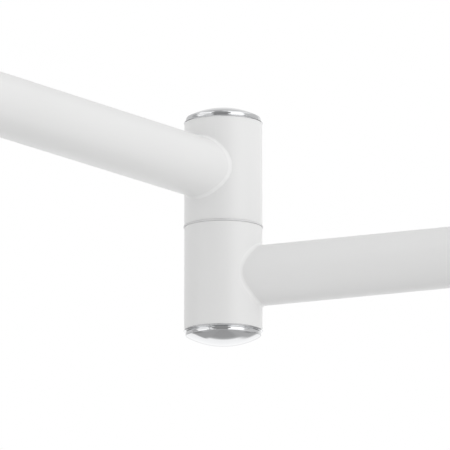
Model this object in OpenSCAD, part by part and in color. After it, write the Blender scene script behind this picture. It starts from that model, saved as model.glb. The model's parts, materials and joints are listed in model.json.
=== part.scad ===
// Arc floor lamp: a weighted round base, a sectional pole whose top bends over into
// an inner arm, a two-barrel swivel elbow, and an outer arm that carries a tilting
// dome shade. Millimetres, +Z up, origin at the centre of the base's underside.
// The inner arm runs from the pole towards -X.

/* [Elbow] */
// Outside diameter of the two swivel barrels
barrel_d = 45; // [42:1:52]
// Height of each barrel
barrel_h = 60; // [56:1:80]
// Thickness of the washer that shows between the barrels
seam_t = 1.2; // [0.8:0.1:2]
// Height of the seam between the barrels above the floor
seam_z = 1900; // [1700:10:2100]
// Angle by which the outer arm is turned from straight ahead, at rest
elbow_rest = 61.7; // [0:0.1:90]
// Turn that the stop allows to each side of straight ahead
elbow_travel = 150; // [90:5:150]

/* [Tubes] */
// Outside diameter of the pole and both arms
tube_d = 35; // [30:1:36]
// Wall thickness of the pole and both arms
tube_wall = 1.5; // [1.2:0.1:2]
// Slope at which both arms rise away from the elbow
arm_rise = 3; // [0:0.5:6]
// Horizontal distance from the pole's axis to the elbow's axis
inner_reach = 560; // [460:10:620]
// Centreline radius of the bend at the top of the pole
pole_bend_r = 300; // [200:10:340]
// Horizontal distance from the elbow's axis to the shade's axis
outer_reach = 560; // [460:10:620]
// Centreline radius of the bend above the shade
arm_bend_r = 220; // [150:10:260]
// Straight length of tube below that bend
drop_l = 45; // [35:5:120]

/* [Pole] */
// Height at which the bent top section joins the pole
arc_joint_z = 1300; // [1100:10:1400]
// Length of the spigots that join the pole sections
coupler_l = 90; // [60:5:140]

/* [Base] */
// Outside diameter of the base cover
base_d = 384; // [340:2:420]
// Height of the base's top face
base_h = 31.5; // [31.5:0.5:40]
// Sheet thickness of the base cover
cover_t = 1.5; // [1:0.5:2]
// Thickness of the pad under the base
pad_t = 3; // [2:0.5:4]

/* [Shade] */
// Outside radius of the sphere that the dome is part of
dome_r = 196; // [170:2:220]
// Depth of the dome from its top to its rim
dome_depth = 150; // [110:5:165]
// Sheet thickness of the dome
dome_t = 1; // [0.8:0.1:2]
// Outside diameter of the chrome cup above the dome
cup_d = 58; // [52:1:66]
// Diameter of the globe bulb
bulb_d = 95; // [80:5:95]

/* [Hidden] */
$fn = 72;
fine_fn = 288;                            // for the large spheres

white = [0.93, 0.93, 0.93];
chrome = [0.78, 0.78, 0.80];
steel = [0.62, 0.63, 0.65];
iron = [0.25, 0.25, 0.26];
black = [0.08, 0.08, 0.08];
grey = [0.55, 0.55, 0.55];
nylon = [0.88, 0.87, 0.82];
brass = [0.80, 0.65, 0.30];
ceramic = [0.92, 0.90, 0.85];

metre = 1000;
eps = 1;                                  // how far a cutter runs past a face
fit_gap = 0.05;                           // radial gap of a running or sliding fit
tube_id = tube_d - 2 * tube_wall;
spigot_d = tube_id - 2 * fit_gap;
bend_turn = 90 + arm_rise;                // degrees that each bend turns through
flex_d = 6;                               // diameter of the internal flex

// Base
base_r = base_d / 2;
cover_shoulder = 10;
weight_r = base_r - 2.5;
weight_top = base_h - cover_t;
lid_r = 55;
lid_z = pad_t + 0.5;
lid_top = 6;
lid_screw_r = 50;
lid_pad_r = 45;
recess_r = 46;
recess_top = 22;
channel_w = 12;
inlet_z = 9;
inlet_bore = 7.4;
inlet_body_d = 11;
stud_d = 16;
stud_bore = 10;
stud_nut_t = 6;
stud_washer_t = 2;
stud_bottom = recess_top - stud_washer_t - stud_nut_t;
stud_top = base_h + 20.5;
foot_plug_h = 25;
block_w = 30;
block_d = 16;
block_y = 22;
block_z = 7;
clamp_x = 30;
clamp_w = 8;
clamp_z = 8.3;
clamp_hole_z = 13;
flex_entry_z = 9.3;                       // height of the flex where it leaves the terminal block
flex_entry_r = 8;
lower_joint_z = (base_h + arc_joint_z) / 2;

// Bend at the pole's top and the inner arm
cope_start = 8;                           // where an arm's tube starts, before it is coped
inner_axis_z = seam_z - seam_t / 2 - barrel_h / 2;
inner_straight = (inner_reach - pole_bend_r * (1 + sin(arm_rise))) / cos(arm_rise);
pole_bend_z = inner_axis_z + inner_straight * sin(arm_rise) - pole_bend_r * cos(arm_rise);

// Elbow, in its own frame: origin on the swivel axis at the seam
web_t = 5;                                // wall that closes each barrel at the seam
barrel_bore = 37;
flex_hole = 22;
pivot_d = 16;
pivot_bore = 10;
bush_d = 20;
bush_flange_d = 26;
face_gap = 0.1;                           // axial gap between faces that slide
bush_flange_t = 1;
upper_base_z = seam_t / 2;
upper_web_top = upper_base_z + web_t;
bush_top = upper_web_top + bush_flange_t;
thrust_z = bush_top + face_gap;
thrust_t = 1;
wave_z = thrust_z + thrust_t;
wave_t = 1.2;
nut_z = wave_z + wave_t;
nut_t = 3.2;
pivot_top = nut_z + 2 * nut_t + 0.6;
pivot_nut_af = 24;
head_d = 26;
head_t = 4;
stop_r = 14.5;
stop_pin_d = 3;
stop_slot_w = 3.6;
stop_slot_depth = 2.8;
flex_turn_r = 14;
cap_rim_d = 43.6;
cap_flange_d = 45.8;
cap_flange_t = 0.7;
cap_rim_h = 3.2;
cap_dome_h = 5.6;
cap_skirt_h = 8;

// Outer arm, in the elbow's frame turned so that +X runs along the arm
outer_axis_z = seam_t / 2 + barrel_h / 2;
outer_straight = (outer_reach - arm_bend_r * (1 + sin(arm_rise))) / cos(arm_rise);
arm_bend_x = outer_reach - arm_bend_r;
arm_bend_z = outer_axis_z + outer_straight * sin(arm_rise) - arm_bend_r * cos(arm_rise);
drop_end_z = arm_bend_z - drop_l;

// Knuckle and shade, in a frame at the end of the drop, +Z up along its axis
plug_flange_t = 5;
stub_d = 18;
stub_l = 12;
cheek_r = 13;
cheek_t = 9;
cheek_gap = 0.3;                          // between the two cheeks
pivot_z = -(plug_flange_t + stub_l + cheek_r + 1);
lower_stub_top = pivot_z - cheek_r - 1;
cup_top = lower_stub_top - stub_l;
nipple_d = 10;
nipple_bore = 7;
cup_h = 50;
cup_t = 1.2;
dome_top = cup_top - cup_h;
dome_z = dome_top - dome_r;               // centre of the dome's sphere
rim_z = dome_top - dome_depth;
rim_r = sqrt(dome_r * dome_r - (rim_z - dome_z) * (rim_z - dome_z));
rim_bead_r = 2.4;
holder_d = 39.4;
holder_cap_top = cup_top - 7;
holder_split = cup_top - 30;
holder_end = dome_top - 38;
holder_id = holder_d - 5;
bulb_cap_d = 26;
bulb_cap_top = dome_top - 10;
bulb_cap_l = 27;
bulb_neck_r = 14;
globe_z = bulb_cap_top - bulb_cap_l - bulb_d / 2 - 4;
tilt_screw_d = 6;
knob_d = 19;
knob_t = 9;

// ---- Shared shapes -------------------------------------------------------

module ring(od, id) {
    difference() {
        circle(d = od);
        circle(d = id);
    }
}

module tube(od, id, h) {
    difference() {
        cylinder(d = od, h = h);
        translate([0, 0, -eps]) cylinder(d = id, h = h + 2 * eps);
    }
}

// A regular hexagon across flats af, extruded by h
module hex(af, h) {
    cylinder(d = af / cos(30), h = h, $fn = 6);
}

module hex_nut(af, bore, h) {
    difference() {
        hex(af, h);
        translate([0, 0, -eps]) cylinder(d = bore, h = h + 2 * eps);
    }
}

// Countersunk screw that points up, its head's flat face at z = 0
module csk_screw(d, head, l) {
    cylinder(d1 = head, d2 = d, h = (head - d) / 2);
    cylinder(d = d, h = l);
}

module profile(od, id) {
    if (id > 0) ring(od / metre, id / metre);
    else circle(d = od / metre);
}

// A tube or flex is a chain of runs and turns. Each starts at the origin heading up +Z,
// and its children carry on from its end. An id of 0 makes it solid. The chain is drawn
// in metres and scaled up whole, which keeps the end faces of its links flush.
module run(od, id, l) {
    linear_extrude(height = l / metre) profile(od, id);
    translate([0, 0, l / metre]) children();
}

// Turns towards +X through angle
module turn(od, id, r, angle) {
    translate([r / metre, 0, 0]) {
        rotate([90, 0, 0]) rotate_extrude(angle = angle, start = 180 - angle)
            translate([r / metre, 0]) profile(od, id);
        rotate([0, angle, 0]) translate([-r / metre, 0, 0]) children();
    }
}

module full_size() scale(metre) children();
module about_face() rotate([0, 0, 180]) children();

module at_elbow() translate([-inner_reach, 0, seam_z]) children();
module at_arm() at_elbow() rotate([0, 0, 180 + elbow_rest]) children();
module at_drop() at_arm() translate([outer_reach, 0, drop_end_z]) children();
module at_tilt_axis() at_drop() translate([0, 0, pivot_z]) rotate([90, 0, 0]) children();

// ---- Base ----------------------------------------------------------------

module base_pad() {
    color(black) tube(2 * weight_r, 2 * lid_r + 7, pad_t);
}

module base_weight() {
    chamfer = 8;
    color(iron) difference() {
        rotate_extrude() polygon([
            [0, pad_t], [weight_r, pad_t], [weight_r, weight_top - chamfer],
            [weight_r - chamfer, weight_top], [0, weight_top]
        ]);
        translate([0, 0, pad_t - eps]) cylinder(r = lid_r + 0.5, h = lid_top - pad_t + eps);
        translate([0, 0, pad_t - eps]) cylinder(r = recess_r, h = recess_top - pad_t + eps);
        translate([0, 0, pad_t]) cylinder(d = stud_d + 0.6, h = base_h);
        translate([recess_r - 4, -channel_w / 2, pad_t - eps]) cube([weight_r, channel_w, channel_w + eps]);
        lid_screw_places() translate([0, 0, lid_top - eps]) cylinder(d = 4.1, h = 10 + eps);
        clamp_screw_places() translate([0, 0, recess_top - eps]) cylinder(d = 3.1, h = 5 + eps);
    }
}

module base_cover() {
    inner = cover_shoulder - cover_t;
    steps = 8;
    outer_arc = [for (i = [0:steps]) let (a = 90 * i / steps)
        [base_r - cover_shoulder + cover_shoulder * cos(a), base_h - cover_shoulder + cover_shoulder * sin(a)]];
    inner_arc = [for (i = [steps:-1:0]) let (a = 90 * i / steps)
        [base_r - cover_shoulder + inner * cos(a), base_h - cover_shoulder + inner * sin(a)]];
    hole_r = stud_d / 2 + 0.3;
    color(white) difference() {
        rotate_extrude() polygon(concat(
            [[base_r, pad_t]], outer_arc, [[hole_r, base_h], [hole_r, weight_top]],
            inner_arc, [[base_r - cover_t, pad_t]]));
        translate([base_r - 10, 0, inlet_z]) rotate([0, 90, 0]) cylinder(d = inlet_body_d, h = 20);
    }
}

module lid_screw_places() {
    for (a = [60, 180, 300]) rotate([0, 0, a]) translate([lid_screw_r, 0, 0]) children();
}

module base_access_lid() {
    color(black) translate([0, 0, lid_z]) difference() {
        cylinder(r = lid_r, h = lid_top - lid_z);
        lid_screw_places() {
            translate([0, 0, -eps]) cylinder(d = 4.4, h = 2 * lid_top);
            cylinder(d1 = 7.4, d2 = 4.4, h = 1.5);
        }
    }
}

module lid_pad() {
    color(black) cylinder(r = lid_pad_r, h = lid_z);
}

module lid_screws() {
    color(steel) lid_screw_places() translate([0, 0, lid_z]) csk_screw(4, 7, 11);
}

module terminal_places() {
    for (x = [-10, 0, 10], y = [4, 12]) translate([x, block_y + y, block_z]) children();
}

module terminal_block() {
    color(nylon) difference() {
        translate([-block_w / 2, block_y, block_z]) cube([block_w, block_d, recess_top - block_z]);
        terminal_places() translate([0, 0, -eps]) cylinder(d = 4.2, h = 7 + eps);
    }
}

module terminal_screws() {
    color(brass) terminal_places() translate([0, 0, 1]) difference() {
        cylinder(d = 4, h = 5);
        translate([-3, -0.4, -eps]) cube([6, 0.8, 1 + eps]);
    }
}

module clamp_screw_places() {
    for (y = [-9, 9]) translate([clamp_x + clamp_w / 2, y, 0]) children();
}

module cord_clamp() {
    color(black) difference() {
        translate([clamp_x, -13, clamp_z]) cube([clamp_w, 26, recess_top - clamp_z]);
        translate([clamp_x - eps, 0, clamp_hole_z]) rotate([0, 90, 0]) cylinder(d = 7.2, h = clamp_w + 2 * eps);
        clamp_screw_places() cylinder(d = 3.3, h = recess_top + eps);
    }
}

module cord_clamp_screws() {
    color(steel) clamp_screw_places() {
        translate([0, 0, clamp_z - 2]) cylinder(d = 5.6, h = 2);
        translate([0, 0, clamp_z]) cylinder(d = 3, h = recess_top - clamp_z + 4);
    }
}

module cord_inlet_grommet() {
    flange_t = 2.5;
    body_l = 5;
    color(black) translate([base_r, 0, inlet_z]) rotate([0, 90, 0]) difference() {
        union() {
            cylinder(d = 14, h = flange_t - 1);
            translate([0, 0, flange_t - 1]) cylinder(d1 = 14, d2 = 12, h = 1);
            translate([0, 0, -body_l]) cylinder(d = inlet_body_d, h = body_l);
        }
        translate([0, 0, -body_l - eps]) cylinder(d = inlet_bore, h = body_l + flange_t + 2 * eps);
    }
}

module pole_stud() {
    color(steel) translate([0, 0, stud_bottom]) tube(stud_d, stud_bore, stud_top - stud_bottom);
}

module pole_stud_washer() {
    color(steel) translate([0, 0, recess_top - stud_washer_t]) tube(30, stud_d + 0.4, stud_washer_t);
}

module pole_stud_nut() {
    color(steel) translate([0, 0, recess_top - stud_washer_t - stud_nut_t]) hex_nut(24, stud_d, stud_nut_t);
}

module pole_collar() {
    bore_r = tube_d / 2 + 0.1;
    foot_r = 36;
    h = 11;
    steps = 8;
    color(chrome) translate([0, 0, base_h]) rotate_extrude() polygon(concat(
        [[bore_r, 0], [foot_r, 0], [foot_r, 2]],
        [for (i = [1:steps]) let (a = 90 * i / steps)
            [bore_r + 2.5 + (foot_r - bore_r - 2.5) * cos(a), 2 + (h - 2) * sin(a)]],
        [[bore_r, h]]));
}

module pole_foot_plug() {
    color(steel) translate([0, 0, base_h]) tube(spigot_d, stud_d, foot_plug_h);
}

// ---- Pole ----------------------------------------------------------------

module lower_pole() {
    color(white) translate([0, 0, base_h]) tube(tube_d, tube_id, lower_joint_z - base_h);
}

module middle_pole() {
    color(white) translate([0, 0, lower_joint_z]) tube(tube_d, tube_id, arc_joint_z - lower_joint_z);
}

module coupler(z) {
    color(steel) translate([0, 0, z - coupler_l / 2]) tube(spigot_d, spigot_d - 6, coupler_l);
}

module lower_coupler() coupler(lower_joint_z);
module upper_coupler() coupler(arc_joint_z);

// The bent top section: pole, bend and inner arm in one tube, coped to the lower barrel
module arc_tube() {
    color(white) difference() {
        translate([0, 0, arc_joint_z]) full_size() about_face()
            run(tube_d, tube_id, pole_bend_z - arc_joint_z)
            turn(tube_d, tube_id, pole_bend_r, bend_turn)
            run(tube_d, tube_id, inner_straight - cope_start);
        at_elbow() translate([0, 0, -1.5 * barrel_h]) cylinder(d = barrel_d, h = 2 * barrel_h);
    }
}

// ---- Elbow ---------------------------------------------------------------

// A barrel with its web at z = 0, open at the top; its arm leaves along +X at the given slope
module barrel(web_hole, slope) {
    difference() {
        cylinder(d = barrel_d, h = barrel_h);
        translate([0, 0, web_t]) cylinder(d = barrel_bore, h = barrel_h);
        translate([0, 0, -eps]) cylinder(d = web_hole, h = web_t + 2 * eps);
        translate([0, 0, barrel_h / 2]) rotate([0, 90 - slope, 0]) cylinder(d = flex_hole, h = barrel_d);
    }
}

// A domed end cap standing on z = 0, with a skirt that presses into the barrel below it
module end_cap() {
    sphere_r = (cap_rim_d * cap_rim_d / 4 + cap_dome_h * cap_dome_h) / (2 * cap_dome_h);
    half_angle = asin(cap_rim_d / 2 / sphere_r);
    steps = 10;
    shell = 1.2;
    skirt_r = barrel_bore / 2 - fit_gap;
    color(chrome) rotate_extrude() polygon(concat(
        [[skirt_r - shell, -cap_skirt_h], [skirt_r, -cap_skirt_h], [skirt_r, 0],
         [cap_flange_d / 2, 0], [cap_flange_d / 2, cap_flange_t], [cap_rim_d / 2, cap_flange_t]],
        [for (i = [steps:-1:0]) let (a = half_angle * i / steps)
            [sphere_r * sin(a), cap_rim_h + cap_dome_h - sphere_r * (1 - cos(a))]],
        [[0, cap_rim_h - shell], [skirt_r - shell, cap_rim_h - shell]]));
}

module lower_barrel() {
    color(white) at_elbow() difference() {
        translate([0, 0, -seam_t / 2]) mirror([0, 0, 1]) barrel(pivot_d, -arm_rise);
        translate([stop_r, 0, -seam_t / 2 - web_t - eps]) cylinder(d = stop_pin_d, h = web_t + 2 * eps);
    }
}

module lower_cap() {
    at_elbow() translate([0, 0, -seam_t / 2 - barrel_h]) mirror([0, 0, 1]) end_cap();
}

module upper_barrel() {
    slot_half = elbow_travel + asin(stop_pin_d / 2 / stop_r) + 1;
    color(white) at_arm() difference() {
        translate([0, 0, upper_base_z]) barrel(bush_d, arm_rise);
        // the stop's slot is centred on the side away from the arm
        rotate([0, 0, 180 - slot_half]) translate([0, 0, upper_base_z - eps])
            rotate_extrude(angle = 2 * slot_half)
                translate([stop_r - stop_slot_w / 2, 0]) square([stop_slot_w, stop_slot_depth + eps]);
    }
}

module upper_cap() {
    at_arm() translate([0, 0, seam_t / 2 + barrel_h]) end_cap();
}

module pivot_tube() {
    color(steel) at_elbow() difference() {
        union() {
            translate([0, 0, -seam_t / 2 - web_t]) cylinder(d = pivot_d, h = pivot_top + seam_t / 2 + web_t);
            translate([0, 0, -seam_t / 2 - web_t - head_t]) cylinder(d = head_d, h = head_t);
        }
        translate([0, 0, -barrel_h]) cylinder(d = pivot_bore, h = 2 * barrel_h);
    }
}

module seam_washer() {
    color(grey) at_elbow() translate([0, 0, -seam_t / 2]) tube(cap_flange_d, barrel_bore - 2, seam_t - face_gap);
}

module stop_pin() {
    color(steel) at_elbow() translate([stop_r, 0, -seam_t / 2 - web_t])
        cylinder(d = stop_pin_d, h = web_t + seam_t + stop_slot_depth - 0.4);
}

module pivot_bush() {
    color(nylon) at_arm() difference() {
        union() {
            translate([0, 0, upper_base_z]) cylinder(d = bush_d, h = web_t);
            translate([0, 0, upper_web_top]) cylinder(d = bush_flange_d, h = bush_flange_t);
        }
        cylinder(d = pivot_d + 2 * fit_gap, h = barrel_h);
    }
}

module thrust_washer() {
    color(steel) at_elbow() translate([0, 0, thrust_z]) tube(bush_flange_d, pivot_d, thrust_t);
}

module wave_washer() {
    color(steel) at_elbow() translate([0, 0, wave_z]) tube(bush_flange_d - 1, pivot_d, wave_t);
}

module pivot_nut() {
    color(steel) at_elbow() translate([0, 0, nut_z]) hex_nut(pivot_nut_af, pivot_d, nut_t);
}

module pivot_jam_nut() {
    color(steel) at_elbow() translate([0, 0, nut_z + nut_t]) rotate([0, 0, 18]) hex_nut(pivot_nut_af, pivot_d, nut_t);
}

// Flex from the terminal block up the pole, along the inner arm and up into the pivot
module stand_flex() {
    color(black) translate([0, block_y, flex_entry_z]) full_size() rotate([90, -90, 0])
        run(flex_d, 0, block_y - flex_entry_r)
        turn(flex_d, 0, flex_entry_r, 90)
        rotate([0, 0, 90]) run(flex_d, 0, pole_bend_z - flex_entry_z - flex_entry_r)
        turn(flex_d, 0, pole_bend_r, bend_turn)
        run(flex_d, 0, inner_straight - flex_turn_r * (1 + sin(arm_rise)) / cos(arm_rise))
        about_face() turn(flex_d, 0, flex_turn_r, bend_turn)
        run(flex_d, 0, seam_z - face_gap - stand_flex_top());
}

// Height at which the stand's flex has finished its turn up towards the seam
function stand_flex_top() =
    inner_axis_z + flex_turn_r * ((1 + sin(arm_rise)) * tan(arm_rise) + cos(arm_rise));

// ---- Outer arm -----------------------------------------------------------

module outer_arm() {
    color(white) at_arm() difference() {
        translate([outer_reach, 0, drop_end_z]) full_size() about_face()
            run(tube_d, tube_id, drop_l)
            turn(tube_d, tube_id, arm_bend_r, bend_turn)
            run(tube_d, tube_id, outer_straight - cope_start);
        translate([0, 0, -barrel_h / 2]) cylinder(d = barrel_d, h = 2 * barrel_h);
    }
}

// Flex from the knuckle up the drop, back along the arm and down into the pivot
module arm_flex() {
    tail = plug_flange_t + stub_l - 2.5;
    turn_end = outer_axis_z + flex_turn_r * ((1 - sin(arm_rise)) * tan(arm_rise) - cos(arm_rise));
    color(black) at_drop() translate([0, 0, -tail]) full_size() about_face()
        run(flex_d, 0, drop_l + tail)
        turn(flex_d, 0, arm_bend_r, bend_turn)
        run(flex_d, 0, outer_straight - flex_turn_r * (1 - sin(arm_rise)) / cos(arm_rise))
        turn(flex_d, 0, flex_turn_r, 90 - arm_rise)
        run(flex_d, 0, turn_end - face_gap);
}

module arm_end_plug() {
    color(chrome) at_drop() difference() {
        union() {
            cylinder(d = spigot_d, h = 20);
            rotate_extrude() polygon([
                [0, 0], [tube_d / 2 + 0.6, 0], [tube_d / 2 + 0.6, -2.5],
                [tube_d / 2 - 1.9, -plug_flange_t], [0, -plug_flange_t]
            ]);
        }
        translate([0, 0, -barrel_d]) cylinder(d = nipple_d, h = 2 * barrel_d);
    }
}

// ---- Knuckle -------------------------------------------------------------

// One half of the knuckle about its tilt axis at the origin: a cheek on the +Y side and a
// round stub that stands up from it
module knuckle_half() {
    side = cheek_gap / 2;
    difference() {
        union() {
            translate([0, side, 0]) rotate([-90, 0, 0]) cylinder(r = cheek_r, h = cheek_t);
            intersection() {
                cylinder(d = stub_d, h = cheek_r + 1);
                translate([-stub_d, side, 0]) cube([2 * stub_d, cheek_t, 2 * cheek_r]);
            }
            translate([0, 0, cheek_r + 1]) cylinder(d = stub_d, h = stub_l);
        }
        translate([0, 0, cheek_r + 3]) cylinder(d = nipple_bore, h = stub_l);
    }
}

module knuckle_upper() {
    color(chrome) at_drop() difference() {
        union() {
            translate([0, 0, pivot_z]) knuckle_half();
            translate([0, 0, -plug_flange_t]) cylinder(d = nipple_d, h = plug_flange_t + 16);
        }
        translate([0, 0, -plug_flange_t - eps]) cylinder(d = nipple_bore, h = 30);
        translate([0, 0, pivot_z]) rotate([-90, 0, 0]) cylinder(d = tilt_screw_d, h = 2 * cheek_t);
    }
}

module knuckle_lower() {
    color(chrome) at_drop() difference() {
        translate([0, 0, pivot_z]) rotate([180, 0, 0]) knuckle_half();
        translate([0, 0, pivot_z]) rotate([90, 0, 0])
            cylinder(d = tilt_screw_d + 2 * fit_gap, h = 2 * cheek_t);
        translate([0, 0, cup_top - eps]) cylinder(d = nipple_d, h = stub_l - 2 + eps);
    }
}

// The screw, washer and knob lie along the tilt axis; local +Z points away from the upper cheek
module tilt_screw() {
    head_t = 3.5;
    shank_l = 2 * cheek_t + cheek_gap + 8;
    color(chrome) at_tilt_axis() translate([0, 0, -cheek_gap / 2 - cheek_t]) {
        cylinder(d = tilt_screw_d, h = shank_l);
        translate([0, 0, -head_t]) difference() {
            cylinder(d = 10, h = head_t);
            translate([0, 0, -eps]) hex(4, 2 + eps);
        }
    }
}

tilt_washer_z = cheek_gap / 2 + cheek_t + 0.1;
tilt_washer_t = 1;

module tilt_washer() {
    color(steel) at_tilt_axis() translate([0, 0, tilt_washer_z]) tube(12, tilt_screw_d, tilt_washer_t);
}

module tilt_knob() {
    grooves = 24;
    color(chrome) at_tilt_axis() translate([0, 0, tilt_washer_z + tilt_washer_t + face_gap]) difference() {
        union() {
            cylinder(d = knob_d - 2, h = 1);
            translate([0, 0, 1]) cylinder(d = knob_d, h = knob_t - 2.5);
            translate([0, 0, knob_t - 1.5]) cylinder(d1 = knob_d, d2 = knob_d - 3, h = 1.5);
        }
        translate([0, 0, -eps]) cylinder(d = tilt_screw_d + 2 * fit_gap, h = knob_t - 1.5 + eps);
        for (i = [0:grooves - 1]) rotate([0, 0, 360 * i / grooves])
            translate([knob_d / 2 + 0.4, 0, -eps]) cylinder(d = 1.6, h = knob_t + 2 * eps);
    }
}

// ---- Shade ---------------------------------------------------------------

module cup_nipple() {
    color(steel) at_drop() translate([0, 0, cup_top - 13]) tube(nipple_d, nipple_bore, 13 + stub_l - 2);
}

module nipple_nut() {
    color(steel) at_drop() translate([0, 0, cup_top - cup_t - 4]) hex_nut(14, nipple_d, 4);
}

module shade_cup() {
    r = cup_d / 2;
    hole_r = nipple_d / 2 + 0.1;
    shoulder = 8;
    steps = 8;
    vents = 10;
    outer_arc = [for (i = [0:steps]) let (a = 90 * i / steps)
        [r - shoulder + shoulder * cos(a), cup_top - shoulder + shoulder * sin(a)]];
    inner_arc = [for (i = [steps:-1:0]) let (a = 90 * i / steps, s = shoulder - cup_t)
        [r - shoulder + s * cos(a), cup_top - shoulder + s * sin(a)]];
    color(chrome) at_drop() difference() {
        rotate_extrude() polygon(concat(
            [[r, dome_top - 6]], outer_arc, [[hole_r, cup_top], [hole_r, cup_top - cup_t]],
            inner_arc, [[r - cup_t, dome_top - 6]]));
        translate([0, 0, dome_z]) sphere(r = dome_r, $fn = fine_fn);
        for (i = [0:vents - 1]) rotate([0, 0, 360 * (i + 0.5) / vents])
            translate([0, 0, cup_top - 20]) rotate([0, 90, 0]) cylinder(d = 4.5, h = cup_d);
    }
}

module dome_shade() {
    color(white) at_drop() {
        difference() {
            translate([0, 0, dome_z]) sphere(r = dome_r, $fn = fine_fn);
            translate([0, 0, dome_z]) sphere(r = dome_r - dome_t, $fn = fine_fn);
            translate([0, 0, rim_z - 2 * dome_r]) cylinder(r = 2 * dome_r, h = 2 * dome_r);
            translate([0, 0, dome_z]) cylinder(d = holder_d + 0.8, h = 2 * dome_r);
        }
        translate([0, 0, rim_z]) rotate_extrude() translate([rim_r - dome_t / 2, 0]) circle(r = rim_bead_r, $fn = 24);
    }
}

module lampholder_cap() {
    color(nylon) at_drop() difference() {
        union() {
            translate([0, 0, holder_split]) cylinder(d = holder_d, h = 10);
            translate([0, 0, holder_split + 10]) cylinder(d1 = holder_d, d2 = 20, h = 10);
            translate([0, 0, holder_split + 20]) cylinder(d = 20, h = holder_cap_top - holder_split - 20);
        }
        translate([0, 0, holder_split - eps]) cylinder(d = holder_id, h = 10 + eps);
        translate([0, 0, holder_split + 9.9]) cylinder(d1 = holder_id, d2 = 14, h = 8);
        translate([0, 0, holder_split]) cylinder(d = nipple_d, h = cup_h);
    }
}

module lampholder_shell() {
    shoulder_d = 46;
    color(nylon) at_drop() difference() {
        union() {
            translate([0, 0, holder_end]) cylinder(d = holder_d, h = holder_split - holder_end);
            difference() {
                translate([0, 0, dome_top - 3]) cylinder(d = shoulder_d, h = 6);
                translate([0, 0, dome_z]) sphere(r = dome_r, $fn = fine_fn);
            }
        }
        translate([0, 0, holder_end - eps]) cylinder(d = holder_id, h = holder_split - holder_end + 2 * eps);
    }
}

insert_bottom = bulb_cap_top + 4;

module lampholder_insert() {
    color(ceramic) at_drop() difference() {
        translate([0, 0, insert_bottom]) cylinder(d = holder_id - 0.2, h = holder_split - insert_bottom);
        for (x = [-9, 9]) translate([x, 0, insert_bottom + 8]) cylinder(d = 5, h = cup_h);
    }
}

module centre_contact() {
    color(brass) at_drop() translate([-3, -5, insert_bottom - 3.6]) {
        cube([6, 10, 0.6]);
        translate([0, 9, 0]) cube([6, 1, 3.6]);
    }
}

module screw_shell() {
    bottom = holder_end + 6;
    color(brass) at_drop() translate([0, 0, bottom]) tube(bulb_cap_d + 2.6, bulb_cap_d + 1.4, insert_bottom - bottom);
}

// The ring screws up the holder's shell and clamps the dome against the holder's shoulder
module shade_ring() {
    flange_t = 6;
    grip_t = 8;
    top = dome_top - dome_t - 2.2;
    color(nylon) at_drop() translate([0, 0, top - flange_t]) {
        tube(56, holder_d, flange_t);
        translate([0, 0, -grip_t]) tube(45, holder_d, grip_t);
    }
}

// Hollow globe whose cone runs down to the neck that its screw cap is glued on
module bulb_globe() {
    glass = 0.9;
    base = bulb_cap_top - bulb_cap_l;
    neck_l = 4;
    blend_z = bulb_d / 2 * 0.86;
    blend_r = sqrt(bulb_d * bulb_d / 4 - blend_z * blend_z);
    cone_l = base - globe_z - blend_z;
    color(white) at_drop() difference() {
        union() {
            translate([0, 0, globe_z]) sphere(d = bulb_d);
            translate([0, 0, globe_z + blend_z]) cylinder(r1 = blend_r, r2 = bulb_neck_r, h = cone_l);
            translate([0, 0, base]) cylinder(r = bulb_neck_r, h = neck_l);
        }
        translate([0, 0, globe_z]) sphere(d = bulb_d - 2 * glass);
        translate([0, 0, base - cone_l - 1]) cylinder(r1 = blend_r, r2 = bulb_neck_r - glass, h = cone_l + 1);
        translate([0, 0, base - 0.5]) cylinder(r = bulb_neck_r - glass, h = neck_l + eps);
    }
}

// The bulb's cap stands off the glass neck below it and carries ridges for its thread
module bulb_screw_cap() {
    base = bulb_cap_top - bulb_cap_l;
    neck_top = base + 4;
    ridges = 5;
    color(steel) at_drop() difference() {
        union() {
            translate([0, 0, base]) cylinder(d = bulb_cap_d + 4, h = 4.5);
            translate([0, 0, base + 4]) cylinder(d = bulb_cap_d - 1.6, h = bulb_cap_l - 7);
            for (i = [0:ridges - 1]) translate([0, 0, base + 6 + 3.4 * i]) cylinder(d = bulb_cap_d, h = 1.8);
            translate([0, 0, bulb_cap_top - 3]) cylinder(d1 = bulb_cap_d - 1.6, d2 = 15, h = 3);
        }
        translate([0, 0, base - eps]) cylinder(r = bulb_neck_r + 0.1, h = neck_top - base + eps);
        translate([0, 0, base]) cylinder(d = bulb_cap_d - 3.2, h = bulb_cap_l - 4);
        translate([0, 0, base]) cylinder(d = 12, h = bulb_cap_l + eps);
    }
}

module bulb_tip() {
    color(black) at_drop() translate([0, 0, bulb_cap_top - 3]) {
        cylinder(d = 11.8, h = 2.6);
        translate([0, 0, 2.6]) cylinder(d = 8, h = 0.7);
    }
}

module shade_flex() {
    color(black) at_drop() translate([0, 0, holder_split])
        cylinder(d = flex_d, h = lower_stub_top - 3 - holder_split);
}

// ---- Assembly ------------------------------------------------------------

base_pad();
base_weight();
base_cover();
base_access_lid();
lid_pad();
lid_screws();
terminal_block();
terminal_screws();
cord_clamp();
cord_clamp_screws();
cord_inlet_grommet();
pole_stud();
pole_stud_washer();
pole_stud_nut();
pole_collar();
pole_foot_plug();
lower_pole();
lower_coupler();
middle_pole();
upper_coupler();
arc_tube();
lower_barrel();
lower_cap();
pivot_tube();
seam_washer();
stop_pin();
thrust_washer();
wave_washer();
pivot_nut();
pivot_jam_nut();
stand_flex();
upper_barrel();
upper_cap();
pivot_bush();
outer_arm();
arm_end_plug();
knuckle_upper();
tilt_screw();
tilt_washer();
tilt_knob();
arm_flex();
knuckle_lower();
cup_nipple();
nipple_nut();
shade_cup();
dome_shade();
lampholder_cap();
lampholder_shell();
lampholder_insert();
screw_shell();
centre_contact();
shade_ring();
bulb_globe();
bulb_screw_cap();
bulb_tip();
shade_flex();
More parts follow.
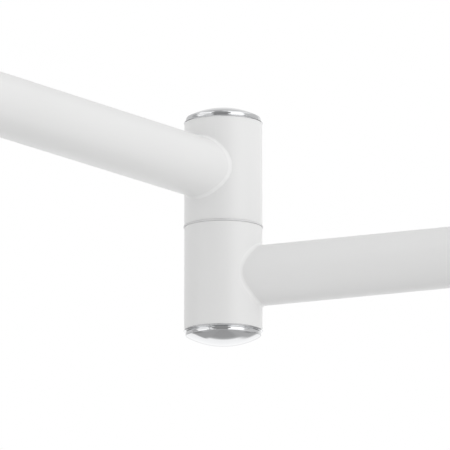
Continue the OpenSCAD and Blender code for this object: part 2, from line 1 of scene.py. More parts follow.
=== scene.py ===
"""Looks of the arc floor lamp: the skins, welds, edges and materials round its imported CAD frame.

Everything is in metres, in the CAD's own frame: +Z up, the base at the origin, and the inner
arm running from the pole towards -X to the swivel elbow. The outer arm leaves the elbow and
carries the shade.
"""

import json
import math

import bmesh
import bpy
from mathutils import Matrix, Vector


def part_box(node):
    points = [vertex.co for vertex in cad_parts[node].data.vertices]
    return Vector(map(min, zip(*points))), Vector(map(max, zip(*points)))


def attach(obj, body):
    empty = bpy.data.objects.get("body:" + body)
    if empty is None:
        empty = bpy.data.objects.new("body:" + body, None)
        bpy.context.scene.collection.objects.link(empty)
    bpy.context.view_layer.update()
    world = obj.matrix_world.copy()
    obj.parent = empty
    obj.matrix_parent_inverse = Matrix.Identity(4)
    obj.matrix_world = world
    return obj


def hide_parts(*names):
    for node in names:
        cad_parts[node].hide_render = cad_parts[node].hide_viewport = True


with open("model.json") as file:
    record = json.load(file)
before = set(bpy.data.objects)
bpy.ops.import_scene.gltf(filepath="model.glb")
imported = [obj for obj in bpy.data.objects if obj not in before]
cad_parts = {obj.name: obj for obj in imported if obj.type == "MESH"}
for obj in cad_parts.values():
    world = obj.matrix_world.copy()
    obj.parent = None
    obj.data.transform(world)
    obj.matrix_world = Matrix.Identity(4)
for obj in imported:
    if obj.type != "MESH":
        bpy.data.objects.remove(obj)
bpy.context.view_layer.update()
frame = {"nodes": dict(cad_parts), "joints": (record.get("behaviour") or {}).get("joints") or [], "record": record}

# ---- Sizes repeated from the CAD source ----------------------------------

ARM_RISE = math.radians(3)
POLE_BEND_R = 0.300
ARM_BEND_R = 0.220
TUBE_R = 0.0175
TUBE_WALL = 0.0015
BARREL_BORE_R = 0.0185
BARREL_WEB = 0.005
LOWER_WEB_HOLE_R = 0.008
CAP_FLANGE_T = 0.0007
CAP_RIM_R = 0.0218
CAP_RIM_H = 0.0032
CAP_DOME_H = 0.0056
CAP_SKIRT_H = 0.008
CAP_SHELL = 0.0012
COLLAR_BORE_R = 0.0176
COLLAR_FOOT_H = 0.002
COLLAR_WALL = 0.0025
DOME_R = 0.196
DOME_T = 0.001
DOME_HOLE_R = 0.0201
RIM_BEAD_R = 0.0024

# ---- Sizes of what only the looks have -----------------------------------

EDGE_BREAK = 0.0004
FINE_BREAK = 0.0002
COVER_BREAK = 0.0006
WASHER_BREAK = 0.00035
WASHER_LAP = 0.001
FLANGE_BREAK = 0.0001
COLLAR_LIP_R = 0.0008
CAP_CROWN = 0.0004
CAP_CREASE = 0.0002
CAP_RIM_FOOT = 0.0003
CAP_ROLL_R = 0.0006
WELD_SIZE = 0.0016
WELD_SINK = 0.00005
WELD_HOLLOW = 0.12
WELD_RIPPLES = ((0.05, 23), (0.06, 5))  # share of the size, and how many round the bead
BEAD_ARC = (75, -255)  # where the dome's rolled rim starts and ends, in degrees
BEAD_OVERLAP = 0.7

# ---- How the meshes are made ---------------------------------------------

MERGE_DISTANCE = 1e-7
CAD_MERGE_DISTANCE = 1e-6
FLAT_ANGLE = 0.5
FOLD_ANGLE = 30
SMOOTH_ANGLE = 35
WELD_SMOOTH_ANGLE = 60

joints = {j["name"]: j for j in frame["joints"]}
record = frame["record"]
slot_of = {p["node"]: p["material_slot"] for p in record["subparts"]}
body_of = {n: b for b, nodes in record["behaviour"]["bodies"].items() for n in nodes}

elbow = Vector(joints["elbow_swivel"]["pos_m"])
tilt = Vector(joints["shade_tilt"]["pos_m"])
to_shade = (tilt - elbow).to_2d()
arm_angle = math.atan2(to_shade.y, to_shade.x)

# Places to build in: Z is the lamp's own height in each, and X runs out along an arm
at_pole = Matrix.Identity(4)
at_elbow = Matrix.Translation((elbow.x, elbow.y, 0))
along_outer_arm = at_elbow @ Matrix.Rotation(arm_angle, 4, "Z")
at_shade = Matrix.Translation((tilt.x, tilt.y, 0)) @ Matrix.Rotation(arm_angle, 4, "Z")


# ---- Mesh helpers --------------------------------------------------------

def skin(rings):
    """Vertices and faces of a closed skin over rings of points, the last joined to the first."""
    count = len(rings[0])
    faces = []
    for i in range(len(rings)):
        j = (i + 1) % len(rings)
        for a in range(count):
            b = (a + 1) % count
            faces.append((i * count + a, i * count + b, j * count + b, j * count + a))
    return [p for ring in rings for p in ring], faces


def rounded(corners, steps=5):
    """A closed outline from corners given as (r, z), or as (r, z, radius) to be rounded off."""
    outline = []
    for i, (r, z, *radius) in enumerate(corners):
        corner = Vector((r, z))
        if not radius:
            outline.append(corner)
            continue
        before = Vector(corners[i - 1][:2]) - corner
        after = Vector(corners[(i + 1) % len(corners)][:2]) - corner
        reach = radius[0] / math.tan(before.angle(after) / 2)
        start = corner + before.normalized() * reach
        end = corner + after.normalized() * reach
        for step in range(steps + 1):
            t = step / steps
            outline.append(start * (1 - t) ** 2 + corner * 2 * t * (1 - t) + end * t**2)
    return outline


def arc(centre_r, centre_z, radius, start, end, steps):
    """Outline points on a circle, from one angle to another in degrees."""
    angles = [math.radians(start + (end - start) * i / steps) for i in range(steps + 1)]
    return [(centre_r + radius * math.cos(a), centre_z + radius * math.sin(a)) for a in angles]


def lathe(outline, around=128):
    """A closed outline of (radius, height) points turned about Z."""
    turns = [2 * math.pi * i / around for i in range(around)]
    round_z = [(math.cos(a), math.sin(a)) for a in turns]
    return skin([[Vector((r * x, r * y, z)) for x, y in round_z] for r, z in outline])


def finish_mesh(name, bm, place, sharp_angle):
    """The mesh of a bmesh, put in its place, with smooth faces and edges sharp past an angle."""
    bmesh.ops.remove_doubles(bm, verts=bm.verts, dist=MERGE_DISTANCE)
    bmesh.ops.dissolve_degenerate(bm, edges=bm.edges, dist=MERGE_DISTANCE)
    bmesh.ops.recalc_face_normals(bm, faces=bm.faces)
    mesh = bpy.data.meshes.new(name)
    bm.to_mesh(mesh)
    bm.free()
    mesh.transform(place)
    mesh.shade_smooth()
    mesh.set_sharp_from_angle(angle=math.radians(sharp_angle))
    return mesh


def mesh_of(name, shape, place=at_pole, sharp_angle=SMOOTH_ANGLE):
    """A mesh from (vertices, faces), put in its place."""
    bm = bmesh.new()
    points = [bm.verts.new(p) for p in shape[0]]
    for face in shape[1]:
        bm.faces.new([points[i] for i in face])
    return finish_mesh(name, bm, place, sharp_angle)


def softened(node, width=EDGE_BREAK):
    """A copy of a CAD node's mesh whose sharp edges are broken, as a real part's edges are."""
    bm = bmesh.new()
    bm.from_mesh(frame["nodes"][node].data)
    bmesh.ops.remove_doubles(bm, verts=bm.verts, dist=CAD_MERGE_DISTANCE)
    bmesh.ops.dissolve_limit(
        bm, angle_limit=math.radians(FLAT_ANGLE), verts=bm.verts, edges=bm.edges
    )
    fold = math.radians(FOLD_ANGLE)
    sharp = [e for e in bm.edges if e.is_manifold and e.calc_face_angle() > fold]
    bmesh.ops.bevel(
        bm, geom=sharp, offset=width, segments=2, profile=0.6, affect="EDGES", clamp_overlap=True
    )
    return finish_mesh(node + "_finish", bm, at_pole, SMOOTH_ANGLE)


def add_piece(name, mesh, body, slot, finish=None):
    """A piece of the looks that rides on a body, in its slot's material or a finish of its own."""
    piece = bpy.data.objects.new(name, mesh)
    bpy.context.scene.collection.objects.link(piece)
    mesh.materials.clear()
    mesh.materials.append(finish or materials[slot])
    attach(piece, body)
    return piece


def stand_in(node, mesh):
    """A piece shown instead of a CAD node, on the same body and in its slot's material."""
    piece = add_piece(node + "_finish", mesh, body_of[node], slot_of[node])
    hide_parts(node)


# ---- Material helpers ----------------------------------------------------

class Finish:
    """A Principled material and the few kinds of node that the lamp's finishes are made from."""

    def __init__(self, name, metallic=0.0, **sockets):
        self.material = bpy.data.materials.new(name)
        self.material.use_nodes = True
        self.nodes = self.material.node_tree.nodes
        self.links = self.material.node_tree.links
        self.shader = self.nodes["Principled BSDF"]
        self.shader.inputs["Metallic"].default_value = metallic
        for socket, value in sockets.items():
            self.shader.inputs[socket.replace("_", " ")].default_value = value
        self.place = self.nodes.new("ShaderNodeTexCoord").outputs["Object"]

    def noise(self, scale, detail, stretch=(1, 1, 1)):
        """Noise of a number of cells to the metre, drawn out along an axis by a small stretch."""
        mapping = self.nodes.new("ShaderNodeMapping")
        mapping.inputs["Scale"].default_value = stretch
        texture = self.nodes.new("ShaderNodeTexNoise")
        texture.inputs["Scale"].default_value = scale
        texture.inputs["Detail"].default_value = detail
        self.links.new(self.place, mapping.inputs["Vector"])
        self.links.new(mapping.outputs["Vector"], texture.inputs["Vector"])
        return texture.outputs["Fac"]

    def cells(self, scale):
        """Distance to the nearest of many scattered points."""
        texture = self.nodes.new("ShaderNodeTexVoronoi")
        texture.inputs["Scale"].default_value = scale
        self.links.new(self.place, texture.inputs["Vector"])
        return texture.outputs["Distance"]

    def colour(self, factor, dark, light, low=0.3, high=0.7):
        """Base colour between two colours."""
        ramp = self.nodes.new("ShaderNodeValToRGB")
        ramp.color_ramp.elements[0].position = low
        ramp.color_ramp.elements[0].color = (*dark, 1)
        ramp.color_ramp.elements[1].position = high
        ramp.color_ramp.elements[1].color = (*light, 1)
        self.links.new(factor, ramp.inputs["Fac"])
        self.links.new(ramp.outputs["Color"], self.shader.inputs["Base Color"])

    def roughness(self, factor, smooth, rough):
        """Roughness between two values."""
        ranged = self.nodes.new("ShaderNodeMapRange")
        ranged.inputs["From Min"].default_value = 0.3
        ranged.inputs["From Max"].default_value = 0.7
        ranged.inputs["To Min"].default_value = smooth
        ranged.inputs["To Max"].default_value = rough
        self.links.new(factor, ranged.inputs["Value"])
        self.links.new(ranged.outputs["Result"], self.shader.inputs["Roughness"])

    def bump(self, factor, height):
        """Relief of a height in metres, on top of any relief that's there already."""
        node = self.nodes.new("ShaderNodeBump")
        node.inputs["Strength"].default_value = 1.0
        node.inputs["Distance"].default_value = height
        self.links.new(factor, node.inputs["Height"])
        normal = self.shader.inputs["Normal"]
        if normal.links:
            self.links.new(normal.links[0].from_socket, node.inputs["Normal"])
        self.links.new(node.outputs["Normal"], normal)


# ---- Materials -----------------------------------------------------------

def white_coat(name="white_coat", tone=0.82):
    """Satin powder coat: orange peel, coarse and fine, and a faint drift in tone."""
    finish = Finish(name, Specular_IOR_Level=0.5)
    dark = (tone - 0.015, tone - 0.015, tone - 0.018)
    light = (tone + 0.015, tone + 0.015, tone + 0.013)
    finish.colour(finish.noise(9, 2), dark, light)
    finish.roughness(finish.noise(60, 3), 0.33, 0.41)
    finish.bump(finish.noise(420, 2), 0.00003)
    finish.bump(finish.noise(3200, 1), 0.000004)
    return finish.material


def chrome():
    """Polished plate: a slow waviness of the metal under it and a very faint haze."""
    finish = Finish("chrome", metallic=1.0)
    finish.colour(finish.noise(35, 2), (0.635, 0.64, 0.65), (0.67, 0.675, 0.685))
    finish.roughness(finish.noise(240, 4), 0.04, 0.075)
    finish.bump(finish.noise(55, 1), 0.00002)
    return finish.material


def steel():
    """Zinc plate with a fine crystalline grain."""
    finish = Finish("steel", metallic=1.0)
    finish.colour(finish.noise(500, 4), (0.42, 0.43, 0.44), (0.58, 0.59, 0.61))
    finish.roughness(finish.noise(900, 3), 0.26, 0.42)
    finish.bump(finish.noise(2600, 3, stretch=(1, 1, 0.15)), 0.000006)
    return finish.material


def iron():
    """Black-painted sand casting."""
    finish = Finish("iron")
    finish.colour(finish.noise(90, 5), (0.022, 0.022, 0.024), (0.045, 0.045, 0.047))
    finish.roughness(finish.noise(300, 4), 0.5, 0.68)
    finish.bump(finish.noise(700, 5), 0.00016)
    return finish.material


def black_plastic():
    """Moulded plastic with a spark-eroded texture."""
    finish = Finish("black_plastic")
    finish.colour(finish.noise(60, 3), (0.016, 0.016, 0.017), (0.026, 0.026, 0.028))
    finish.roughness(finish.noise(1500, 2), 0.42, 0.56)
    finish.bump(finish.noise(2400, 2), 0.00002)
    return finish.material


def foam_pad():
    """Dense black foam with open cells."""
    finish = Finish("foam_pad", Specular_IOR_Level=0.25)
    finish.colour(finish.cells(1600), (0.012, 0.012, 0.013), (0.05, 0.05, 0.052), 0.0, 0.8)
    finish.roughness(finish.noise(400, 2), 0.85, 0.95)
    finish.bump(finish.cells(1600), 0.00025)
    return finish.material


def flex_sheath():
    """Black rubber-like sheath."""
    finish = Finish("flex_sheath")
    finish.colour(finish.noise(80, 3), (0.014, 0.014, 0.015), (0.024, 0.024, 0.025))
    finish.roughness(finish.noise(700, 2), 0.5, 0.62)
    finish.bump(finish.noise(1800, 2), 0.00001)
    return finish.material


def grey_washer():
    """Grey acetal, slightly waxy."""
    finish = Finish("grey_washer")
    finish.colour(finish.noise(120, 3), (0.68, 0.68, 0.685), (0.74, 0.74, 0.745))
    finish.roughness(finish.noise(600, 2), 0.42, 0.52)
    finish.bump(finish.noise(1500, 2), 0.000008)
    return finish.material


def nylon():
    """Natural nylon, a little translucent."""
    finish = Finish(
        "nylon", Subsurface_Weight=0.15, Subsurface_Scale=0.002, Subsurface_Radius=(1, 0.9, 0.8)
    )
    finish.colour(finish.noise(150, 3), (0.66, 0.63, 0.55), (0.74, 0.71, 0.64))
    finish.roughness(finish.noise(700, 2), 0.38, 0.5)
    finish.bump(finish.noise(1200, 2), 0.00001)
    return finish.material


def holder_white():
    """Glossy moulded white plastic of the lampholder."""
    finish = Finish("holder_white")
    finish.colour(finish.noise(40, 2), (0.74, 0.74, 0.72), (0.79, 0.79, 0.775))
    finish.roughness(finish.noise(500, 3), 0.16, 0.24)
    finish.bump(finish.noise(900, 2), 0.000006)
    return finish.material


def brass():
    """Bare brass, dulled unevenly."""
    finish = Finish("brass", metallic=1.0)
    finish.colour(finish.noise(180, 4), (0.52, 0.36, 0.13), (0.72, 0.53, 0.22))
    finish.roughness(finish.noise(600, 3), 0.22, 0.4)
    finish.bump(finish.noise(2000, 2), 0.000005)
    return finish.material


def ceramic():
    """Unglazed steatite."""
    finish = Finish("ceramic", Specular_IOR_Level=0.4)
    finish.colour(finish.noise(200, 5), (0.62, 0.60, 0.56), (0.74, 0.72, 0.68))
    finish.roughness(finish.noise(900, 2), 0.6, 0.75)
    finish.bump(finish.noise(1800, 3), 0.00003)
    return finish.material


def opal_glass():
    """Opal glass: a milky body under a clear gloss."""
    finish = Finish("opal_glass", Coat_Weight=0.6, Coat_Roughness=0.03)
    finish.colour(finish.noise(25, 2), (0.86, 0.85, 0.82), (0.90, 0.89, 0.87))
    finish.roughness(finish.noise(90, 2), 0.1, 0.16)
    finish.bump(finish.noise(30, 1), 0.00002)
    return finish.material


materials = {
    make.__name__: make()
    for make in (white_coat, chrome, steel, iron, black_plastic, foam_pad, flex_sheath,
                 grey_washer, nylon, holder_white, brass, ceramic, opal_glass)
}


def paint_cad_nodes():
    """Every CAD node gets its slot's material. A node that a piece stands for is hidden later."""
    for name, node in frame["nodes"].items():
        node.data.materials.clear()
        node.data.materials.append(materials[slot_of[name]])


# ---- Arms ----------------------------------------------------------------

def arm_ring(centre, heading, radius, around=96):
    """Ring of points round a tube in the XZ plane, from the top; heading is the tube's slope."""
    side = Vector((0, 1, 0))
    up = Vector((-math.sin(heading), 0, math.cos(heading)))
    turns = [2 * math.pi * i / around for i in range(around)]
    return [centre + (up * math.cos(a) + side * math.sin(a)) * radius for a in turns]


def coped_ring(axis_z, radius, barrel_r, around=96):
    """Ring where an arm's tube of a radius meets a barrel about Z of radius barrel_r."""
    ring = []
    for i in range(around):
        a = 2 * math.pi * i / around
        side, up = radius * math.sin(a), radius * math.cos(a)
        along = (math.sqrt(barrel_r**2 - side**2) + up * math.sin(ARM_RISE)) / math.cos(ARM_RISE)
        x = along * math.cos(ARM_RISE) - up * math.sin(ARM_RISE)
        z = axis_z + along * math.sin(ARM_RISE) + up * math.cos(ARM_RISE)
        ring.append(Vector((x, side, z)))
    return ring


def arm_path(axis_z, reach, bend_r, end_z):
    """Centreline from a barrel's axis out, round the bend and down: (point, heading) pairs."""
    straight = (reach - bend_r * (1 + math.sin(ARM_RISE))) / math.cos(ARM_RISE)
    out = Vector((math.cos(ARM_RISE), 0, math.sin(ARM_RISE)))
    start = Vector((0, 0, axis_z))
    centre = start + out * straight + Vector((math.sin(ARM_RISE), 0, -math.cos(ARM_RISE))) * bend_r
    path = [(start + out * straight * share, ARM_RISE) for share in (0.25, 0.5, 0.75)]
    steps = 48
    for i in range(steps + 1):
        heading = ARM_RISE - (ARM_RISE + math.pi / 2) * i / steps
        path.append((centre + Vector((-math.sin(heading), 0, math.cos(heading))) * bend_r, heading))
    down = -math.pi / 2
    path.append((Vector((reach, 0, (centre.z + end_z) / 2)), down))
    path.append((Vector((reach, 0, end_z + EDGE_BREAK)), down))
    return path


def arm_tube(axis_z, reach, bend_r, end_z, barrel_r):
    """An arm's tube with its wall, coped to the barrel and with a broken edge at its lower end."""
    path = arm_path(axis_z, reach, bend_r, end_z)
    inner_r = TUBE_R - TUBE_WALL
    end = Vector((reach, 0, end_z))
    outside = [arm_ring(p, h, TUBE_R) for p, h in path]
    inside = [arm_ring(p, h, inner_r) for p, h in path]
    tip = [arm_ring(end, -math.pi / 2, r) for r in (TUBE_R - EDGE_BREAK, inner_r)]
    coped = [coped_ring(axis_z, inner_r, barrel_r), coped_ring(axis_z, TUBE_R, barrel_r)]
    return skin([coped[1]] + outside + tip + inside[::-1] + [coped[0]])


def weld_bead(axis_z, barrel_r, around=144, steps=8):
    """Concave fillet of weld round the saddle where an arm meets its barrel."""
    saddle = coped_ring(axis_z, TUBE_R, barrel_r, around)
    out = Vector((math.cos(ARM_RISE), 0, math.sin(ARM_RISE)))
    start = Vector((0, 0, axis_z))
    rings = []
    for i, point in enumerate(saddle):
        tangent = (saddle[(i + 1) % around] - saddle[i - 1]).normalized()
        barrel_normal = Vector((point.x, point.y, 0)).normalized()
        radial = point - start
        tube_normal = (radial - out * radial.dot(out)).normalized()
        on_barrel = barrel_normal.cross(tangent).normalized()
        on_barrel *= math.copysign(1, on_barrel.dot(tube_normal))
        on_tube = tube_normal.cross(tangent).normalized()
        on_tube *= math.copysign(1, on_tube.dot(barrel_normal))
        turn = 2 * math.pi * i / around
        size = WELD_SIZE * (1 + sum(share * math.sin(n * turn) for share, n in WELD_RIPPLES))
        foot = point + on_barrel * size
        foot_shift = Vector((foot.x, foot.y, 0)).normalized() * (barrel_r - WELD_SINK)
        foot = Vector((foot_shift.x, foot_shift.y, foot.z))
        toe = point + on_tube * size - tube_normal * WELD_SINK
        buried = point - (on_barrel + on_tube) * 0.3 * size - barrel_normal * 0.5 * size
        section = []
        for step in range(steps + 1):
            t = step / steps
            bulge = point + (foot + toe - 2 * point) * WELD_HOLLOW
            section.append(foot * (1 - t) ** 2 + bulge * 2 * t * (1 - t) + toe * t**2)
        rings.append(section + [buried])
    return skin(rings)


def build_arms():
    """Both arms, each welded to its barrel."""
    barrel_r = (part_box("lower_barrel")[1].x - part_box("lower_barrel")[0].x) / 2
    sunk_r = barrel_r - EDGE_BREAK
    inner_z = sum(c.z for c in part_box("lower_barrel")) / 2
    outer_z = sum(c.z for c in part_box("upper_barrel")) / 2
    inner = arm_tube(inner_z, -elbow.x, POLE_BEND_R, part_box("arc_tube")[0].z, sunk_r)
    outer = arm_tube(outer_z, to_shade.length, ARM_BEND_R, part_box("outer_arm")[0].z, sunk_r)
    stand_in("arc_tube", mesh_of("arc_tube_finish", inner, at_elbow))
    stand_in("outer_arm", mesh_of("outer_arm_finish", outer, along_outer_arm))
    # The weld beads are coated lighter than the arms. This is a painted highlight, so that a bright line shows
    # round each saddle.
    painted_highlight_coat = white_coat("weld_painted_highlight", 0.868)
    for name, axis_z, place, node in (
        ("inner_arm_weld", inner_z, at_elbow, "lower_barrel"),
        ("outer_arm_weld", outer_z, along_outer_arm, "upper_barrel"),
    ):
        weld = mesh_of(name, weld_bead(axis_z, barrel_r), place, WELD_SMOOTH_ANGLE)
        add_piece(name, weld, body_of[node], "white_coat", painted_highlight_coat)


# ---- Elbow ---------------------------------------------------------------

def lower_barrel(radius, seam_z, cap_z):
    """The lower barrel, from its web at the seam down to its open end, with its edges broken."""
    web_z = seam_z - BARREL_WEB
    return lathe(rounded([
        (BARREL_BORE_R, cap_z),
        (radius, cap_z, EDGE_BREAK),
        (radius, seam_z, EDGE_BREAK),
        (LOWER_WEB_HOLE_R, seam_z),
        (LOWER_WEB_HOLE_R, web_z),
        (BARREL_BORE_R, web_z),
    ]))


def end_cap(flange_r, base_z, way):
    """A domed cap that stands on base_z; way is 1 for the top cap and -1 for the bottom one.

    The flange comes to a blunt edge. The rim between it and the dome is crowned, and rolls over
    into the dome.
    """
    sphere_r = (CAP_RIM_R**2 + CAP_DOME_H**2) / (2 * CAP_DOME_H)
    half = math.degrees(math.asin(CAP_RIM_R / sphere_r))
    flange = rounded([
        (BARREL_BORE_R - CAP_SHELL, -CAP_SKIRT_H),
        (BARREL_BORE_R, -CAP_SKIRT_H),
        (BARREL_BORE_R, 0),
        (flange_r - CAP_FLANGE_T / 2, 0),
        (flange_r, CAP_FLANGE_T / 2, FLANGE_BREAK),
        (flange_r - CAP_FLANGE_T / 2, CAP_FLANGE_T),
        (CAP_RIM_R, CAP_FLANGE_T, CAP_CREASE),
        (CAP_RIM_R, CAP_RIM_H),
    ])[:-1]
    rim = []
    for i in range(11):
        t = i / 12
        crown = CAP_CROWN * (1 - (2 * t - 0.9) ** 2)
        z = CAP_FLANGE_T + CAP_RIM_FOOT + (CAP_RIM_H - CAP_FLANGE_T) * t
        rim.append((CAP_RIM_R - CAP_CROWN + crown, z))
    shoulder = (CAP_RIM_R - CAP_CREASE, CAP_RIM_H + CAP_CREASE, CAP_ROLL_R)
    roll_over = rounded([rim[-1], shoulder, (0, CAP_RIM_H + CAP_DOME_H)])[1:-1]
    dome = arc(0, CAP_RIM_H + CAP_DOME_H - sphere_r, sphere_r, 90 - half * 0.95, 90, 16)
    inside = [(0, CAP_RIM_H - CAP_SHELL), (BARREL_BORE_R - CAP_SHELL, CAP_RIM_H - CAP_SHELL)]
    outline = [*flange, *rim, *roll_over, *dome, *inside]
    return lathe([(r, base_z + way * z) for r, z in outline], 160)


def build_elbow():
    """Two barrels, the washer between them and a domed cap on each end."""
    low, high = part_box("lower_barrel")
    radius, lower_end, lower_seam = (high.x - low.x) / 2, low.z, high.z
    upper_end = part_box("upper_barrel")[1].z
    lower = lower_barrel(radius, lower_seam, lower_end)
    stand_in("lower_barrel", mesh_of("lower_barrel_finish", lower, at_elbow))
    stand_in("upper_barrel", softened("upper_barrel"))
    low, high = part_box("seam_washer")
    washer_r = (high.x - low.x) / 2
    washer = lathe(rounded([
        (BARREL_BORE_R - WASHER_LAP, low.z),
        (washer_r, low.z, WASHER_BREAK),
        (washer_r, high.z, WASHER_BREAK),
        (BARREL_BORE_R - WASHER_LAP, high.z),
    ]))
    stand_in("seam_washer", mesh_of("seam_washer_finish", washer, at_elbow))
    stand_in("lower_cap", mesh_of("lower_cap_finish", end_cap(washer_r, lower_end, -1), at_elbow))
    stand_in("upper_cap", mesh_of("upper_cap_finish", end_cap(washer_r, upper_end, 1), at_elbow))


# ---- Stand ---------------------------------------------------------------

def straight_tube(node):
    """A pole section's wall, with both of its outer edges broken."""
    low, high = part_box(node)
    inner_r = TUBE_R - TUBE_WALL
    return lathe(rounded([
        (inner_r, low.z),
        (TUBE_R, low.z, EDGE_BREAK),
        (TUBE_R, high.z, EDGE_BREAK),
        (inner_r, high.z),
    ]), 96)


def pole_collar():
    """The chrome collar at the pole's foot: a flat foot that sweeps up into a rounded lip."""
    low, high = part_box("pole_collar")
    foot_r = (high.x - low.x) / 2
    lip_r = COLLAR_BORE_R + COLLAR_WALL
    foot_z = low.z + COLLAR_FOOT_H
    turns = [math.radians(88 * i / 24) for i in range(25)]
    sweep = [
        (lip_r + (foot_r - lip_r) * math.cos(a), foot_z + (high.z - foot_z) * math.sin(a))
        for a in turns
    ]
    lip = arc(COLLAR_BORE_R + COLLAR_LIP_R, high.z - COLLAR_LIP_R, COLLAR_LIP_R, 90, 180, 6)
    return lathe([(COLLAR_BORE_R, low.z), (foot_r, low.z), *sweep, *lip], 192)


def build_stand():
    """The base's cover, collar and grommet, and the two straight sections of the pole."""
    stand_in("base_cover", softened("base_cover", COVER_BREAK))
    stand_in("pole_collar", mesh_of("pole_collar_finish", pole_collar()))
    for node in ("lower_pole", "middle_pole"):
        stand_in(node, mesh_of(node + "_finish", straight_tube(node)))
    stand_in("cord_inlet_grommet", softened("cord_inlet_grommet"))


# ---- Shade ---------------------------------------------------------------

def dome_shade():
    """The spun dome: one thin skin from the hole at its top to a bead rolled round its rim."""
    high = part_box("dome_shade")[1].z
    centre = high - DOME_R
    rim_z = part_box("dome_shade")[0].z + RIM_BEAD_R
    top = math.degrees(math.acos(DOME_HOLE_R / DOME_R))
    rim = math.degrees(math.asin((rim_z - centre) / DOME_R))
    rim_r = DOME_R * math.cos(math.radians(rim)) - DOME_T / 2
    outside = arc(0, centre, DOME_R, top, rim + BEAD_OVERLAP, 64)
    bead = arc(rim_r, rim_z, RIM_BEAD_R, *BEAD_ARC, 22)
    inside = arc(0, centre, DOME_R - DOME_T, rim + BEAD_OVERLAP, top, 64)
    return lathe([*outside, *bead, *inside], 256)


def build_shade():
    """The dome, and broken edges on the small parts above and inside it."""
    stand_in("dome_shade", mesh_of("dome_shade_finish", dome_shade(), at_shade))
    for node in ("shade_cup", "knuckle_upper", "knuckle_lower", "tilt_screw", "arm_end_plug"):
        stand_in(node, softened(node))
    for node in ("tilt_knob", "shade_ring", "lampholder_shell", "bulb_globe"):
        stand_in(node, softened(node, FINE_BREAK))


# ---- Stage ---------------------------------------------------------------

CAMERA_AZIMUTH = math.radians(12.9)
CAMERA_PITCH = math.radians(11.6)
CAMERA_DISTANCE = 3.568
CAMERA_LENS = 496
CAMERA_SENSOR = 36
CLIP_END = 500
FLOOR_HALF = 400
AIM_RIGHT = 0.00098
AIM_UP = 0.0012

right = Vector((math.cos(CAMERA_AZIMUTH), math.sin(CAMERA_AZIMUTH), 0))
level_back = Vector((math.sin(CAMERA_AZIMUTH), -math.cos(CAMERA_AZIMUTH), 0))


def add_camera():
    """A long lens close on the elbow, from a little below it."""
    back = level_back * math.cos(CAMERA_PITCH) - Vector((0, 0, math.sin(CAMERA_PITCH)))
    up = back.cross(right)
    camera = bpy.data.objects.new("camera", bpy.data.cameras.new("camera"))
    bpy.context.scene.collection.objects.link(camera)
    camera.data.lens = CAMERA_LENS
    camera.data.sensor_width = CAMERA_SENSOR
    camera.data.clip_end = CLIP_END
    camera.location = elbow + right * AIM_RIGHT + up * AIM_UP + back * CAMERA_DISTANCE
    camera.rotation_euler = Matrix((right, up, back)).transposed().to_euler()
    bpy.context.scene.camera = camera


def add_floor():
    """A pale floor that runs to the horizon, and that only the camera sees."""
    finish = Finish("floor")
    finish.colour(finish.noise(0.4, 2), (0.60, 0.60, 0.60), (0.62, 0.62, 0.62))
    finish.roughness(finish.noise(3, 2), 0.75, 0.85)
    signs = ((-1, -1), (1, -1), (1, 1), (-1, 1))
    corners = [(x * FLOOR_HALF, y * FLOOR_HALF, 0) for x, y in signs]
    mesh = bpy.data.meshes.new("floor")
    mesh.from_pydata(corners, [], [(0, 1, 2, 3)])
    mesh.materials.append(finish.material)
    floor = bpy.data.objects.new("floor", mesh)
    bpy.context.scene.collection.objects.link(floor)
    floor.visible_glossy = False
    floor.visible_diffuse = False
    floor.visible_shadow = False


# Brightness of the studio round the lamp, each patch painted over the ones before it. Azimuth 0
# is the camera's side and +90 its right; an edge of None leaves the patch open on that side.
SKY_BACKGROUND = 1.25
SKY_PATCHES = (
    # brightness, middle azimuth, half width, lowest and highest elevation, softness, all in degrees
    (1.02, 180, 75, -8, None, 8),
    (0.88, 180, 60, 17, None, 6),
    (0.60, -60, 60, 45, None, 20),
    (1.15, 60, 60, 45, None, 20),
    (0.66, 180, 60, 38, None, 12),
    (1.10, -60, 60, None, -30, 12),
    (1.10, 60, 60, None, -30, 12),
    (1.55, -11, 79, -40, 45, 12),
    (0.76, -122, 32, -25, 35, 8),
    (0.56, -97, 12, -25, 35, 8),
    (0.74, 101, 33, -25, 35, 8),
    (0.35, -7, 30, -12, 32, 8),
    (0.35, -8, 24, None, 50, 8),
    (0.66, 0, 190, None, -40, 6),
    (0.45, 180, 30, None, -43, 10),
    (0.48, -160, 8, None, -34, 4),
    (0.55, 158, 8, None, -27, 8),
    (0.35, 132, 20, -50, -14, 8),
    (0.35, -136, 18, -50, -14, 8),
)
SOFT_BOXES = (
    # brightness, azimuth and elevation of the middle, half width and half height
    (1.15, -64, 8, 27, 26),
    (1.8, 41, 8, 18, 26),
)
SOFT_BOX_EDGE = 0.9
SOFT_BOX_SOFTNESS = 0.6


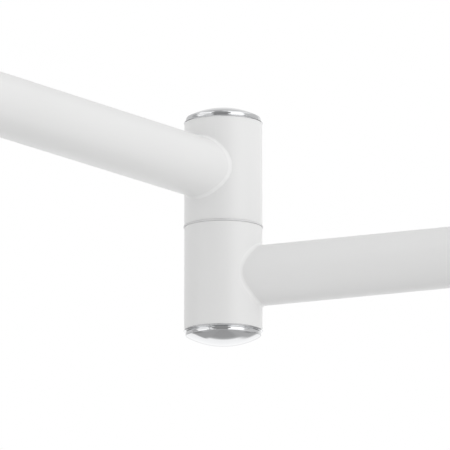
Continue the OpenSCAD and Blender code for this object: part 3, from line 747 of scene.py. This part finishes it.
class Sky:
    """Nodes of the world that paint brightness over the directions round the lamp."""

    def __init__(self, tree):
        self.nodes, self.links = tree.nodes, tree.links
        self.level = SKY_BACKGROUND
        place = self.nodes.new("ShaderNodeTexCoord").outputs["Generated"]
        turned = self.nodes.new("ShaderNodeVectorRotate")
        turned.rotation_type = "Z_AXIS"
        turned.inputs["Angle"].default_value = math.pi / 2 - CAMERA_AZIMUTH
        self.links.new(place, turned.inputs["Vector"])
        axes = self.nodes.new("ShaderNodeSeparateXYZ")
        self.links.new(turned.outputs["Vector"], axes.inputs["Vector"])
        azimuth = self.calc("ARCTAN2", axes.outputs["Y"], axes.outputs["X"])
        self.azimuth = self.calc("DEGREES", azimuth)
        self.elevation = self.calc("DEGREES", self.calc("ARCSINE", axes.outputs["Z"]))

    def calc(self, operation, *values):
        """A Math node on sockets and numbers."""
        node = self.nodes.new("ShaderNodeMath")
        node.operation = operation
        for socket, value in zip(node.inputs, values):
            if isinstance(value, (int, float)):
                socket.default_value = value
            else:
                self.links.new(value, socket)
        return node.outputs["Value"]

    def step(self, value, edge, softness):
        """0 well below an edge and 1 well above it."""
        node = self.nodes.new("ShaderNodeMapRange")
        node.interpolation_type = "SMOOTHSTEP"
        node.inputs["From Min"].default_value = edge - softness / 2
        node.inputs["From Max"].default_value = edge + softness / 2
        self.links.new(value, node.inputs["Value"])
        return node.outputs["Result"]

    def away(self, azimuth):
        """Degrees of azimuth to either side of one."""
        shifted = self.calc("SUBTRACT", self.azimuth, azimuth)
        return self.calc("ABSOLUTE", self.calc("WRAP", shifted, 180.0, -180.0))

    def mix_in(self, brightness, mask):
        """Paints a brightness through a mask."""
        change = self.calc("SUBTRACT", brightness, self.level)
        self.level = self.calc("MULTIPLY_ADD", mask, change, self.level)

    def patch(self, brightness, azimuth, half_width, lowest, highest, softness):
        """Paints a patch with straight edges."""
        mask = self.calc("SUBTRACT", 1.0, self.step(self.away(azimuth), half_width, softness))
        if lowest is not None:
            mask = self.calc("MULTIPLY", mask, self.step(self.elevation, lowest, softness))
        if highest is not None:
            above = self.step(self.elevation, highest, softness)
            mask = self.calc("MULTIPLY", mask, self.calc("SUBTRACT", 1.0, above))
        self.mix_in(brightness, mask)

    def soft_box(self, brightness, azimuth, elevation, half_width, half_height):
        """Paints an oval patch that's brightest in its middle."""
        across = self.calc("DIVIDE", self.away(azimuth), half_width)
        up = self.calc("DIVIDE", self.calc("SUBTRACT", self.elevation, elevation), half_height)
        off = self.calc("ADD", self.calc("POWER", across, 2.0), self.calc("MULTIPLY", up, up))
        outside = self.step(off, SOFT_BOX_EDGE, SOFT_BOX_SOFTNESS)
        self.mix_in(brightness, self.calc("SUBTRACT", 1.0, outside))


def add_world():
    """White to the camera, and a soft studio to everything else."""
    world = bpy.data.worlds.new("studio")
    bpy.context.scene.world = world
    world.use_nodes = True
    tree = world.node_tree
    tree.nodes.clear()
    sky = Sky(tree)
    for patch in SKY_PATCHES:
        sky.patch(*patch)
    for box in SOFT_BOXES:
        sky.soft_box(*box)
    studio = tree.nodes.new("ShaderNodeBackground")
    tree.links.new(sky.level, studio.inputs["Strength"])
    white = tree.nodes.new("ShaderNodeBackground")
    seen = tree.nodes.new("ShaderNodeLightPath").outputs["Is Camera Ray"]
    mix = tree.nodes.new("ShaderNodeMixShader")
    output = tree.nodes.new("ShaderNodeOutputWorld")
    for background in (studio, white):
        background.inputs["Color"].default_value = (1, 1, 1, 1)
    tree.links.new(seen, mix.inputs["Fac"])
    tree.links.new(studio.outputs["Background"], mix.inputs[1])
    tree.links.new(white.outputs["Background"], mix.inputs[2])
    tree.links.new(mix.outputs["Shader"], output.inputs["Surface"])


paint_cad_nodes()
build_stand()
build_arms()
build_elbow()
build_shade()
add_floor()
add_world()
add_camera()
bpy.context.scene.view_settings.view_transform = "Standard"
